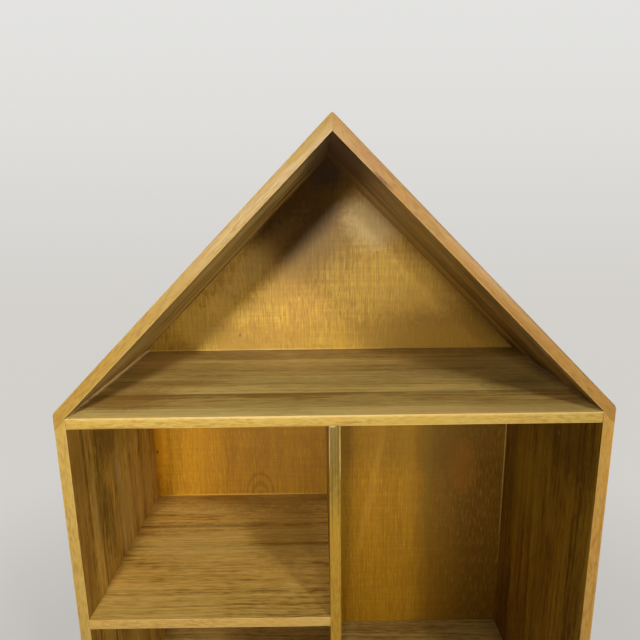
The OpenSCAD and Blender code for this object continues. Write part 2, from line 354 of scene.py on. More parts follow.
# Streaks, lines and fibres run along the grain, mottle lies across it, and patches are wide.
streaks = crisp(tree, grain(tree, moved, (1.8, 60, 60), 4.0, 0.6))
lines = crisp(tree, grain(tree, moved, (5.0, 190, 190), 3.0, 0.6))
fibres = crisp(tree, grain(tree, moved, (36, 480, 480), 2.0))
mottle = crisp(tree, grain(tree, moved, (45, 150, 150), 3.0))
patches = grain(tree, inlet["Place"], (5, 15, 15), 4.0, 0.6)
threads = rise(tree, grain(tree, moved, (1.6, 130, 130), 2.0), 0.6, 0.68)
pores = rise(tree, grain(tree, moved, (30, 620, 620), 2.0), 0.56, 0.66)
figures = 0.0
for figure, strength in (
    (streaks, 0.3), (crisp(tree, rings), 0.23), (lines, 0.2), (fibres, 0.32),
    (mottle, 0.18), (crisp(tree, patches), 0.32),
):
    figure = calc(tree, "MULTIPLY_ADD", figure, strength, -strength / 2)
    figures = calc(tree, "ADD", figures, figure)

# A stave's tone and its figure take it from the dark over the middle to the light wood.
shade = calc(tree, "MULTIPLY_ADD", inlet["Stave"], 0.8, 0.1)
shade = calc(tree, "MULTIPLY_ADD", figures, inlet["Figure"], shade)
colour = stain(tree, rise(tree, shade, 0.0, 0.5), inlet["Dark wood"], inlet["Middle wood"])
colour = stain(tree, rise(tree, shade, 0.5, 1.0), colour, inlet["Light wood"])
warmth = stain(tree, own[2], (1.03, 0.98, 0.93, 1), (0.98, 1.01, 1.05, 1))
colour = stain(tree, 1.0, colour, warmth, "MULTIPLY")
colour = stain(tree, calc(tree, "MULTIPLY", threads, 0.24), colour, inlet["Dark wood"])
colour = stain(tree, calc(tree, "MULTIPLY", pores, 0.3), colour, inlet["Dark wood"])

# A glue joint is a dark line, or a light one where the glue shows.
dark_line = rise(tree, inlet["Joint"], 0.5, 1.0, 0.0, 0.8)
light_line = rise(tree, inlet["Joint"], 0.5, 0.0, 0.0, 0.55)
colour = stain(tree, dark_line, colour, inlet["Dark wood"])
colour = stain(tree, light_line, colour, inlet["Front wood"])

# The planed front edge is lighter, with orange tans and brown flecks, and a painted highlight along
# its arrises.
orange = stain(tree, 1.0, inlet["Front wood"], (1.0, 0.87, 0.68, 1), "MULTIPLY")
tanned = crisp(tree, grain(tree, moved, (24, 160, 160), 4.0))
edge_wood = stain(tree, calc(tree, "MULTIPLY", tanned, 0.8), inlet["Front wood"], orange)
brownish = stain(tree, 1.0, inlet["Front wood"], (0.6, 0.44, 0.26, 1), "MULTIPLY")
flecks = rise(tree, grain(tree, moved, (80, 420, 420), 2.0), 0.42, 0.66, 0.0, 0.55)
flecks = calc(tree, "MULTIPLY", flecks, rise(tree, patches, 0.4, 0.6, 0.5, 1.0))
edge_wood = stain(tree, flecks, edge_wood, brownish)
edge_wood = stain(tree, calc(tree, "MULTIPLY", threads, 0.35), edge_wood, brownish)
colour = stain(tree, inlet["Front"], colour, edge_wood)
bright = stain(tree, 1.0, inlet["Front wood"], (1.2, 1.25, 1.5, 1), "MULTIPLY")
colour = stain(tree, calc(tree, "MULTIPLY", inlet["Arris highlight"], 0.6), colour, bright)
tree.links.new(colour, outlet.inputs["Colour"])

# Open pores are rougher and lower than the varnish round them.
roughness = calc(tree, "MULTIPLY_ADD", pores, 0.12, calc(tree, "MULTIPLY_ADD", patches, 0.14, 0.36))
roughness = calc(tree, "MULTIPLY_ADD", inlet["Front"], -0.04, roughness)
tree.links.new(roughness, outlet.inputs["Roughness"])
tree.links.new(calc(tree, "MULTIPLY_ADD", pores, -0.00006, calc(
    tree, "MULTIPLY", fibres, 0.00004)), outlet.inputs["Height"])

# The front edge of a board, and the painted highlight along each of its arrises.
front_edge, inlet, outlet = new_group(
    "front edge", {"Place": "place", "Thickness": "value"}, {"Front": "value", "Arris highlight": "value"}
)
tree = front_edge
_, across, through = add_node(tree, "SeparateXYZ", {"Vector": inlet["Place"]}).outputs
is_front = rise(tree, across, front + 0.0009, front + 0.0004)
to_arris = calc(tree, "SUBTRACT", calc(tree, "MULTIPLY", inlet["Thickness"], 0.5),
                calc(tree, "ABSOLUTE", through))
close = rise(tree, to_arris, 0.0016, 0.0006)
at_front = rise(tree, across, front + 0.0016, front + 0.0006)
broken = rise(tree, grain(tree, inlet["Place"], (22, 300, 300), 2.0), 0.35, 0.6)
tree.links.new(is_front, outlet.inputs["Front"])
tree.links.new(calc(tree, "MULTIPLY", calc(tree, "MULTIPLY", close, at_front), broken),
               outlet.inputs["Arris highlight"])


def set_ramp(node, stops, way):
    """Sets a colour ramp's stops to grey values."""
    ramp = node.color_ramp
    ramp.interpolation = way
    while len(ramp.elements) > 1:
        ramp.elements.remove(ramp.elements[-1])
    for number, (place, value) in enumerate(stops):
        stop = ramp.elements[0] if number == 0 else ramp.elements.new(place)
        stop.position = place
        stop.color = (value, value, value, 1)


def lay_staves(name, staves):
    """A group that tells a board's staves apart.

    Each stave is given by where it starts, in millimetres from the front, by its tone, and by the
    line at the joint before it: dark above 0 and light below.
    """
    tree, inlet, outlet = new_group(
        name + " staves", {"Across": "value"}, {"Stave": "value", "Joint": "value"}
    )
    depth, line_width = (rear - front) * 1000, 1.9
    share = add_node(tree, "MapRange", {"Value": inlet["Across"], 1: front, 2: rear}).outputs[0]
    pick = add_node(tree, "ValToRGB", {"Fac": share})
    set_ramp(pick, [(start / depth, tone) for start, tone, _ in staves], "CONSTANT")
    line = add_node(tree, "ValToRGB", {"Fac": share})
    edges = [(0.0, 0.5)]
    for start, _, strength in staves:
        if strength:
            edges += [((start - line_width) / depth, 0.5), (start / depth, 0.5 + strength / 2),
                      ((start + line_width) / depth, 0.5)]
    set_ramp(line, edges, "LINEAR")
    tree.links.new(pick.outputs["Color"], outlet.inputs["Stave"])
    tree.links.new(line.outputs["Color"], outlet.inputs["Joint"])
    return tree


def lay_marks(tree, colour, where, marks):
    """Lays soft marks on a colour, such as knots, smears and glue, and also painted shade and
    painted light.

    Each is given by its place, its size, its tint, how much of the colour it takes, and its lean.
    """
    ragged = calc(tree, "MULTIPLY_ADD", grain(tree, where, (110, 110, 110), 3.0), 0.9, -0.45)
    for centre, size, tint, share, lean in marks:
        from_mark = add_node(tree, "Mapping", {
            "Vector": where, "Location": centre, "Scale": size,
            "Rotation": (0, math.radians(lean), 0),
        }, vector_type="TEXTURE").outputs[0]
        reach = add_node(tree, "VectorMath", {0: from_mark}, operation="LENGTH").outputs["Value"]
        reach = calc(tree, "ADD", reach, ragged)
        colour = stain(tree, rise(tree, reach, 1.2, 0.4, 0.0, share), colour, (*tint, 1))
    return colour


# The wood's own colours, which the outer faces of the sides and roof panels take; the inner faces
# keep each board's colours.
outer_woods = (0.62, 0.43, 0.15), (0.47, 0.305, 0.085), (0.25, 0.145, 0.032)


def varnished_board(name, turn, cut_at, middle, staves, woods, marks, outward=0, figure=1.0):
    """One board's material.

    Turn brings its grain to X. Middle then takes its middle plane to Z 0, and cut_at is its place
    along the log, which no two boards share. Outward is the side of the middle plane, 1 or -1,
    where the board is an outer face of the case. Figure is how lively its grain is.
    """
    material, tree, surface = new_material(name)
    where = add_node(tree, "TexCoord").outputs["Object"]
    place = add_node(tree, "Mapping", {
        "Vector": where, "Rotation": (0, math.radians(turn), 0), "Location": (cut_at, 0, middle),
    }).outputs[0]
    across = add_node(tree, "SeparateXYZ", {"Vector": where}).outputs["Y"]
    laid = add_node(tree, "Group", node_tree=lay_staves(name, staves))
    tree.links.new(across, laid.inputs["Across"])
    edge = add_node(tree, "Group", node_tree=front_edge)
    tree.links.new(place, edge.inputs["Place"])
    edge.inputs["Thickness"].default_value = thickness
    wood = add_node(tree, "Group", node_tree=solid_wood)
    wood.inputs["Figure"].default_value = figure
    for socket, value in (
        ("Place", place), ("Stave", laid.outputs["Stave"]), ("Joint", laid.outputs["Joint"]),
        ("Front", edge.outputs["Front"]), ("Arris highlight", edge.outputs["Arris highlight"]),
    ):
        tree.links.new(value, wood.inputs[socket])
    for socket, value in zip(("Light wood", "Middle wood", "Dark wood", "Front wood"), woods):
        wood.inputs[socket].default_value = (*value, 1)
    unmarked = edge.outputs["Front"]
    if outward:
        through = add_node(tree, "SeparateXYZ", {"Vector": place}).outputs["Z"]
        outer = rise(tree, through, outward * 0.003, outward * 0.007)
        names = "Light wood", "Middle wood", "Dark wood"
        for socket, inner, value in zip(names, woods, outer_woods):
            tree.links.new(stain(tree, outer, (*inner, 1), (*value, 1)), wood.inputs[socket])
        unmarked = calc(tree, "MAXIMUM", unmarked, outer)
    bump = add_node(tree, "Bump", {"Height": wood.outputs["Height"], "Distance": 1.0})
    on_faces = [mark for mark in marks if mark[0][1] != front]
    on_edge = [mark for mark in marks if mark[0][1] == front]
    colour = lay_marks(tree, wood.outputs["Colour"], where, on_faces)
    colour = stain(tree, unmarked, colour, wood.outputs["Colour"])
    colour = lay_marks(tree, colour, where, on_edge)
    shader = add_node(tree, "BsdfPrincipled", {
        "Base Color": colour, "Roughness": wood.outputs["Roughness"],
        "Normal": bump.outputs[0], "Specular IOR Level": 0.35,
    })
    tree.links.new(shader.outputs[0], surface)
    return material


side_staves = {
    "left": [(0, 0.48, 0), (27, 0.22, 0.2), (41, 0.66, 0), (66, 0.42, 0.4), (104, 0.4, 0),
             (142, 0.64, 0), (187, 0.42, 0.2), (212, 0.72, -0.2), (232, 0.4, 0.3), (256, 0.64, 0),
             (290, 0.4, 0)],
    "right": [(0, 0.6, 0), (16, 0.28, 0.2), (52, 0.45, 0), (80, 0.52, 0), (106, 0.36, 0.2),
              (128, 0.55, 0), (155, 0.62, 0), (176, 0.42, 0.2), (236, 0.86, -0.5), (255, 0.28, 0),
              (298, 0.3, 0.2)],
}
# Inner face colours of the sides. They are partly painted light: more saturated for the bounce light
# in the bays, and on the right side much darker, as painted shade.
side_woods = {
    "left": ((0.61, 0.39, 0.08), (0.45, 0.262, 0.036), (0.19, 0.093, 0.01), (0.54, 0.365, 0.088)),
    "right": ((0.46, 0.26, 0.022), (0.3, 0.158, 0.01), (0.13, 0.058, 0.003), (0.6, 0.345, 0.068)),
}
# A dark brown used for painted shade and for small dark marks such as spots and joint lines, and a
# pale wood for light streaks.
shade_and_mark_brown, pale_wood = (0.1, 0.05, 0.008), (0.58, 0.38, 0.11)
filler, glue = (0.6, 0.44, 0.26), (1.0, 0.8, 0.46)
side_marks = {
    "left": [
        # Painted shade: the next two dark marks, high under the attic floor.
        ((-inside, -0.05, 0.55), (0.02, 0.045, 0.06), shade_and_mark_brown, 0.6, 0),
        ((-inside, -0.13, 0.54), (0.02, 0.035, 0.06), shade_and_mark_brown, 0.4, 0),
        ((-inside, -0.09, 0.46), (0.02, 0.026, 0.075), shade_and_mark_brown, 0.35, 0),
        ((-inside, -0.06, 0.4), (0.02, 0.018, 0.07), shade_and_mark_brown, 0.3, 0),
        ((-inside, -0.109, 0.45), (0.02, 0.006, 0.09), pale_wood, 0.5, 0),
        ((-inside, -0.0245, 0.47), (0.02, 0.0035, 0.055), (0.36, 0.33, 0.25), 0.6, 0),
        ((-inside, -0.019, 0.36), (0.02, 0.003, 0.06), filler, 0.5, 0),
        ((-inside, 0.03, 0.485), (0.02, 0.007, 0.014), pale_wood, 0.5, 0),
        ((-inside, 0.066, 0.48), (0.02, 0.011, 0.022), pale_wood, 0.5, 0),
        ((-inside, 0.09, 0.42), (0.02, 0.008, 0.03), pale_wood, 0.35, 0),
        ((-inside, 0.06, 0.38), (0.02, 0.1, 0.07), pale_wood, 0.3, 0),
        ((-inside, 0.02, 0.53), (0.02, 0.07, 0.05), (0.3, 0.17, 0.02), 0.3, 0),
        ((-inside, -0.155, 0.46), (0.02, 0.03, 0.3), (0.34, 0.15, 0.02), 0.5, 0),
        ((-inside, 0.05, 0.4), (0.02, 0.12, 0.06), (0.42, 0.27, 0.06), 0.3, 0),
    ],
    "right": [
        ((inside, back_face, 0.4), (0.02, 0.0022, 0.3), (0.5, 0.33, 0.06), 0.6, 0),
        ((inside, 0.04, 0.4), (0.02, 0.004, 0.16), (0.46, 0.3, 0.03), 0.5, 0),
        ((inside, -0.0524, 0.539), (0.02, 0.004, 0.004), filler, 0.7, 0),
        # Painted shade high under the attic floor; the next two lighter marks lower down are painted
        # light.
        ((inside, -0.08, 0.54), (0.02, 0.1, 0.07), (0.08, 0.038, 0.004), 0.6, 0),
        ((inside, 0.04, 0.4), (0.02, 0.05, 0.07), (0.5, 0.32, 0.02), 0.35, 0),
        ((inside, -0.05, 0.4), (0.02, 0.02, 0.05), (0.5, 0.3, 0.04), 0.35, 0),
        ((inside, 0.0, 0.45), (0.02, 0.012, 0.2), (0.3, 0.2, 0.02), 0.4, 0),
        ((inside, 0.08, 0.42), (0.02, 0.035, 0.2), (0.3, 0.19, 0.006), 0.4, 0),
    ],
}


def eave_joint(hand):
    """The mark of the glue line that shows on the front edges where a side meets the roof."""
    place = hand * (inside + outside) / 2, front, attic_top - thickness / 2
    return place, (0.014, 0.01, 0.001), (0.24, 0.13, 0.02), 0.5, hand * 45


for hand_name, hand in (("left", -1), ("right", 1)):
    x_low, x_high = sorted((hand * inside, hand * outside))
    side = saw_board(hand_name + "_side", (x_low, front, foot), (x_high, back_face, attic_top))
    lip = hand * (inside + rabbet)
    choose(side, "faces", lambda x, y, z: near(y, back_face))
    mark_cut((lip, 0, 0), (1, 0, 0))
    choose(side, "faces", lambda x, y, z: near(y, back_face) and abs(x) > abs(lip) - 1e-5)
    pull_out(rear - back_face)
    plane_off((hand * inside, 0, attic_top), (hand, 0, 1))
    ease(side, lambda x, y, z: near(y, front) or near(y, rear),
         but=lambda x, y, z: near(abs(x) + z, inside + attic_top))
    material = varnished_board(
        hand_name + " side", 90, hand * 3.1, hand * (inside + outside) / 2,
        side_staves[hand_name], side_woods[hand_name], side_marks[hand_name] + [eave_joint(hand)],
        outward=-hand, figure=1.15,
    )
    side.data.materials.append(material)
    off_the_bench(side, "side_" + hand_name)


# ---- Roof panels ----
# Two boards with staves along the slope. They meet in a plain mitre at the ridge, where biscuits
# hold them, rest on the bevelled tops of the sides, and are cut plumb and rounded at the eaves.

ridge_inside = 0.964
ridge_outside = ridge_inside + thickness * math.sqrt(2)
roof_middle = (ridge_inside + ridge_outside) / 2 / math.sqrt(2)
ridge_round = 0.003
eave_round = 0.010 * math.tan(math.radians(22.5))
roof_staves = {
    "left": [(0, 0.52, 0), (30, 0.7, 0), (62, 0.48, 0), (98, 0.2, 0.2), (131, 0.6, -0.3),
             (165, 0.16, 0.3), (215, 1.0, 0), (258, 0.62, 0), (276, 0.12, 0.3)],
    "right": [(0, 0.5, 0), (22, 0.56, 0), (75, 0.66, 0), (112, 0.36, 0.2), (132, 0.5, 0),
              (158, 0.2, 0), (176, 0.08, 0.4), (212, 0.9, 0), (255, 0.4, 0.6), (272, 0.9, 0)],
}
roof_woods = {
    "left": ((0.66, 0.5, 0.19), (0.43, 0.31, 0.1), (0.17, 0.108, 0.028), (0.48, 0.305, 0.06)),
    "right": ((0.62, 0.43, 0.16), (0.33, 0.215, 0.08), (0.09, 0.046, 0.012), (0.47, 0.265, 0.06)),
}
roof_marks = {
    "left": [
        ((-inside, 0.05, attic_top), (0.007, 0.24, 0.007), glue, 1.0, 0),
        # Painted light: lighter at the foot of the inner face.
        ((-0.3, 0.02, 0.664), (0.07, 0.25, 0.03), (0.7, 0.52, 0.19), 0.6, -45),
        # Painted shade under the ridge.
        ((0, -0.05, 0.955), (0.06, 0.3, 0.06), (0.1, 0.068, 0.06), 0.75, 0),
    ],
    "right": [
        ((inside, 0.02, attic_top), (0.0035, 0.17, 0.0035), (0.6, 0.5, 0.36), 0.8, 0),
        # Painted shade: a dark line along the rounded outer arris of the front.
        ((0.18, front, 0.8052), (0.3, 0.003, 0.0022), (0.26, 0.13, 0.035), 0.7, 45),
        ((0.058, front, 0.9085), (0.017, 0.004, 0.0022), (0.2, 0.065, 0.02), 0.9, 45),
        # Painted shade under the ridge.
        ((0, -0.05, 0.955), (0.08, 0.3, 0.08), (0.15, 0.1, 0.095), 0.75, 0),
        ((0.043, front, 0.932), (0.03, 0.004, 0.004), (0.42, 0.18, 0.05), 0.5, 45),
        ((0.15, 0.02, 0.814), (0.11, 0.16, 0.11), (0.13, 0.08, 0.03), 0.25, 0),
    ],
}
for hand_name, hand in (("left", -1), ("right", 1)):
    # The blank is larger than the panel all round, and the plane cuts leave the panel's slope.
    x_low, x_high = sorted((hand * -0.02, hand * outside))
    roof = saw_board(hand_name + "_roof_panel", (x_low, front, 0.6), (x_high, back_face, 0.99))
    plane_off((0, 0, ridge_inside), (-hand, 0, -1))
    plane_off((0, 0, ridge_outside), (hand, 0, 1))
    plane_off((0, 0, ridge_outside), (-hand, 0, 1))
    lift = rabbet * math.sqrt(2)
    choose(roof, "faces", lambda x, y, z: near(y, back_face))
    mark_cut((0, 0, ridge_inside + lift), (hand, 0, 1))
    choose(roof, "faces", lambda x, y, z: near(y, back_face))
    mark_cut((hand * (inside + rabbet), 0, 0), (1, 0, 0))
    choose(roof, "faces", lambda x, y, z: near(y, back_face) and (
        z > ridge_inside + lift - hand * x - 1e-5 or hand * x > inside + rabbet - 1e-5))
    pull_out(rear - back_face)
    choose(roof, "edges", lambda x, y, z: near(x, 0) and near(z, ridge_outside))
    bpy.ops.mesh.bevel(offset=ridge_round, segments=6, affect="EDGES")
    plane_off((0, 0, 0), (-hand, 0, 0))
    eave = ridge_outside - outside
    choose(roof, "edges", lambda x, y, z: near(hand * x, outside) and near(z, eave))
    bpy.ops.mesh.bevel(offset=eave_round, segments=8, affect="EDGES")
    choose(roof, "faces", lambda x, y, z: True)
    mark_cut((hand * inside, 0, 0), (1, 0, 0))
    ease(roof, lambda x, y, z: near(y, front) or near(y, rear), but=lambda x, y, z: near(x, 0) or (
        hand * x > inside - 1e-5 and near(z, ridge_inside - hand * x)))
    material = varnished_board(
        hand_name + " roof panel", -45 * hand, hand * 5.3, -roof_middle,
        roof_staves[hand_name], roof_woods[hand_name], roof_marks[hand_name] + [eave_joint(hand)],
        outward=1, figure=1.2,
    )
    roof.data.materials.append(material)
    off_the_bench(roof, "roof_" + hand_name)


# ---- Level boards and divider ----
# The attic floor, the shelf of the left bay and the bottom board lie between the uprights, and the
# divider stands between the attic floor and the bottom board. Staves run along each board.

attic_under, shelf_top, bottom_top = attic_top - thickness, 0.319, 0.019
light_wood, middle_wood, dark_wood = (0.72, 0.53, 0.17), (0.51, 0.35, 0.1), (0.28, 0.168, 0.033)
brown = (0.27, 0.14, 0.03)
attic_marks = [
    ((-0.29, -0.09, attic_top), (0.07, 0.06, 0.02), brown, 0.6, 0),
    ((0.27, -0.147, attic_top), (0.1, 0.024, 0.01), (0.4, 0.23, 0.06), 0.4, 0),
    ((-0.23, -0.03, attic_top), (0.09, 0.014, 0.02), brown, 0.5, 0),
    # Painted highlight along the upper front arris.
    ((0, front, attic_top), (0.6, 0.0085, 0.0035), (0.85, 0.59, 0.19), 0.6, 0),
    ((0.12, -0.15, attic_top), (0.16, 0.016, 0.005), (0.85, 0.57, 0.19), 0.45, 0),
    ((0.16, -0.087, attic_top), (0.05, 0.01, 0.01), (0.5, 0.37, 0.12), 0.4, 0),
    ((-0.24, 0.125, attic_top), (0.06, 0.008, 0.02), brown, 0.25, 0),
    ((-0.076, 0.126, attic_top), (0.024, 0.008, 0.02), pale_wood, 0.6, 0),
    # Painted shade: the next two dark lines along the lower front arris.
    ((-0.27, front, attic_under), (0.07, 0.01, 0.0025), brown, 0.7, 0),
    ((-0.05, front, attic_under), (0.08, 0.01, 0.0022), brown, 0.6, 0),
    ((0.02, front, 0.609), (0.022, 0.01, 0.0014), brown, 0.5, 0),
    ((-inside, 0.05, attic_top), (0.007, 0.24, 0.01), glue, 1.0, 0),
    ((inside, 0.02, attic_top), (0.0035, 0.17, 0.01), (0.6, 0.5, 0.36), 0.8, 0),
    # Painted shade: the next two darken the right of the floor, where the right roof's shadow falls.
    ((0.2, 0.05, attic_top), (0.1, 0.07, 0.02), (0.2, 0.12, 0.03), 0.4, 0),
    ((0.28, -0.055, attic_top), (0.07, 0.04, 0.02), (0.12, 0.07, 0.015), 0.5, 0),
    # Painted light at the back left, where the left roof's shadow falls.
    ((-0.29, 0.1, attic_top), (0.06, 0.06, 0.02), (0.7, 0.47, 0.18), 0.5, 0),
    ((-inside, front, 0.6115), (0.001, 0.01, 0.012), brown, 0.7, 0),
    ((inside, front, 0.6115), (0.0012, 0.01, 0.012), shade_and_mark_brown, 0.7, 0),
]
shelf_marks = [
    # All four marks are painted: shade beside the divider, light on the left, and shade towards the
    # back.
    ((-0.08, 0.03, shelf_top), (0.075, 0.11, 0.02), (0.27, 0.14, 0.018), 0.42, 0),
    ((-0.24, 0.01, shelf_top), (0.11, 0.06, 0.02), (0.85, 0.58, 0.16), 0.4, 0),
    ((-0.14, 0.15, shelf_top), (0.27, 0.05, 0.02), (0.26, 0.13, 0.012), 0.5, 0),
    ((-0.1, 0.11, shelf_top), (0.1, 0.06, 0.02), (0.2, 0.1, 0.012), 0.15, 0),
]
divider_marks = [
    ((0, front, 0.6), (0.02, 0.02, 0.12), (0.19, 0.115, 0.004), 0.85, 0),
    ((-0.0035, front, 0.53), (0.0011, 0.02, 0.1), (0.12, 0.07, 0.002), 0.7, 0),
    ((0.0005, front, 0.57), (0.0009, 0.02, 0.06), (0.12, 0.07, 0.002), 0.6, 0),
    ((0.004, front, 0.55), (0.0012, 0.02, 0.08), (0.14, 0.08, 0.002), 0.7, 0),
    # Painted highlights: the next two light lines along the front arrises.
    ((0.0072, front, 0.57), (0.001, 0.004, 0.05), (0.85, 0.66, 0.25), 0.7, 0),
    ((-0.0072, front, 0.575), (0.001, 0.004, 0.04), (0.85, 0.66, 0.25), 0.5, 0),
    ((-0.003, front, 0.6035), (0.0045, 0.004, 0.0009), (0.85, 0.68, 0.3), 0.8, 0),
]
for name, node, low, high, turn, figure, cut_at, staves, woods, marks in (
    ("attic_board", "attic_floor",
     (-inside, front, attic_under), (inside, back_face, attic_top), 0, 0.85, 0.7,
     [(0, 1.0, 0), (28, 0.5, -0.2), (36, 0.36, 0), (61, 0.2, 0), (75, 0.04, 0), (84, 0.86, 0.7),
      (116, 0.42, 0.2), (128, 0.54, 0), (184, 0.28, 0.3), (195, 0.5, 0), (238, 0.82, 0),
      (254, 0.3, -0.4), (263, 0.16, 0), (296, 0.1, 0)],
     (light_wood, middle_wood, dark_wood, (0.6, 0.415, 0.09)), attic_marks),
    ("bay_shelf", "left_shelf",
     (-inside, front, shelf_top - thickness), (-thickness / 2, back_face, shelf_top), 0, 1.35, 4.2,
     [(0, 0.5, 0), (57, 0.66, 0.2), (103, 0.45, 0.4), (140, 0.62, 0), (160, 0.25, 0.9),
      (167, 0.82, 0), (189, 0.42, 0.4), (200, 0.64, 0), (213, 0.3, 0.4), (221, 0.58, 0),
      (230, 0.95, 0), (237, 0.52, -0.3), (256, 0.62, 0), (292, 0.4, 0.2)],
     ((0.78, 0.51, 0.125), (0.62, 0.385, 0.08), (0.32, 0.165, 0.025), (0.6, 0.39, 0.1)),
     shelf_marks),
    ("foot_board", "bottom_board",
     (-inside, front, foot), (inside, back_face, bottom_top), 0, 1.1, 8.6,
     [(0, 0.5, 0), (48, 0.3, 0.3), (95, 0.6, 0.2), (150, 0.42, 0.5), (190, 0.7, -0.3),
      (251, 0.35, 0.4)],
     (light_wood, middle_wood, dark_wood, (0.6, 0.39, 0.1)), []),
    ("divider_board", "centre_divider",
     (-thickness / 2, front, bottom_top), (thickness / 2, back_face, attic_under), 90, 1.1, 6.4,
     [(0, 0.6, 0), (41, 0.35, 0.2), (99, 0.5, 0.3), (138, 0.3, -0.3), (190, 0.65, 0.5),
      (256, 0.4, 0.1)],
     ((0.53, 0.31, 0.075), (0.38, 0.2, 0.035), (0.2, 0.1, 0.015), (0.42, 0.25, 0.02)),
     divider_marks),
):
    level = saw_board(name, low, high)
    middle = 0 if turn else -(low[2] + high[2]) / 2
    if turn:
        ease(level, lambda x, y, z: near(y, front) and near(abs(x), thickness / 2))
        bpy.ops.mesh.select_all(action="DESELECT")
    else:
        for height in (low[2], high[2]):
            ease(level, lambda x, y, z: near(y, front) and near(z, height))
    material = varnished_board(
        name.replace("_", " "), turn, cut_at, middle, staves, woods, marks, figure=figure)
    level.data.materials.append(material)
    off_the_bench(level, node)


# ---- Back panel ----
# One house-shaped sheet of 5 mm plywood lies in the rabbet and is nailed from behind. Its face
# veneer stands upright and is varnished on the inside; the rear is raw.

back_rear, back_foot, back_top, play = 0.162, 0.006, 0.98, 0.0003
back_edge = rabbet - play
panel = saw_board("plywood_back", (-inside - back_edge, back_face, back_foot),
                  (inside + back_edge, back_rear, back_top))
slope_top = ridge_inside + back_edge * math.sqrt(2)
plane_off((0, 0, slope_top), (1, 0, 1))
plane_off((0, 0, slope_top), (-1, 0, 1))
ease(panel, lambda x, y, z: near(y, back_rear), width=0.0004)

plywood, tree, surface = new_material("varnished plywood")
where = add_node(tree, "TexCoord").outputs["Object"]
across, through, up = add_node(tree, "SeparateXYZ", {"Vector": where}).outputs
swayed = add_node(tree, "CombineXYZ", {
    0: calc(tree, "MULTIPLY_ADD", grain(tree, where, (12, 1, 20), 2.0), 0.006, across), 2: up,
}).outputs[0]
dashes = grain(tree, swayed, (430, 1, 46), 2.0)
painted_glints = grain(tree, swayed, (330, 3, 48), 2.0)
strands = crisp(tree, grain(tree, swayed, (330, 1, 11), 3.0, 0.6))
ripples = crisp(tree, grain(tree, where, (9, 1, 160), 2.0))
bands = grain(tree, swayed, (34, 1, 1.4), 3.0)
clouds = grain(tree, where, (7, 1, 8), 3.0)
in_attic = rise(tree, up, attic_under, attic_top)
shade = calc(tree, "MULTIPLY_ADD", strands, 0.44, -0.22)
shade = calc(tree, "ADD", shade, calc(tree, "MULTIPLY_ADD", bands, 0.75, 0.125))
shade = calc(tree, "ADD", shade, calc(tree, "MULTIPLY_ADD", ripples, 0.2, -0.1))

# The veneer is a greener gold in the attic and orange in the bays, where the orange partly stands in
# for their bounce light; in the left bay it is painted darker towards the divider, as shade.
below = stain(tree, rise(tree, across, -0.3, -0.06), (0.46, 0.215, 0.005, 1), (0.36, 0.17, 0.003, 1))
below = stain(tree, rise(tree, across, -0.02, 0.03), below, (0.42, 0.205, 0.004, 1))
darker = stain(tree, 1.0, below, (0.78, 0.72, 0.6, 1), "MULTIPLY")
colour = stain(tree, rise(tree, shade, 0.25, 0.75), darker, below)
above = stain(tree, rise(tree, shade, 0.25, 0.75), (0.48, 0.27, 0.032, 1), (0.68, 0.42, 0.055, 1))
above = stain(tree, rise(tree, clouds, 0.4, 0.65, 0.0, 0.55), above, (0.56, 0.29, 0.05, 1))


def spread(tree, where, middle, wide, narrow, share):
    """How much of a round stain lies at a place: none past wide, and its share within narrow."""
    away = add_node(tree, "VectorMath", {0: where, 1: middle}, operation="DISTANCE")
    return rise(tree, away.outputs["Value"], wide, narrow, 0.0, share)


# Painted shade: a dark shadow under the ridge, a darker olive patch low on the right of the attic,
# and dark brown on the right of the right bay.
painted_ridge_shadow = spread(tree, where, (-0.065, back_face, 0.87), 0.165, 0.04, 0.85)
above = stain(tree, painted_ridge_shadow, above, (0.12, 0.062, 0.004, 1))
colour = stain(tree, in_attic, colour, above)
painted_olive_shade = spread(tree, where, (0.21, back_face, 0.61), 0.2, 0.06, 0.88)
painted_olive_shade = calc(tree, "MULTIPLY", painted_olive_shade, in_attic)
colour = stain(tree, painted_olive_shade, colour, (0.24, 0.12, 0.005, 1))
shady = calc(tree, "SUBTRACT", 1.0, in_attic)
shady = calc(tree, "MULTIPLY", shady, rise(tree, across, 0.13, 0.3, 0.0, 0.92))
colour = stain(tree, shady, colour, (0.12, 0.052, 0.001, 1))
dark = rise(tree, dashes, 0.48, 0.66, 0.0, 0.62)
colour = stain(tree, dark, colour, (0.3, 0.14, 0.012, 1))
# Painted highlight: whiter glints in the varnish.
bright = stain(tree, 1.0, colour, (1.3, 1.4, 1.7, 1), "MULTIPLY")
colour = stain(tree, rise(tree, painted_glints, 0.54, 0.68, 0.0, 0.75), colour, bright)

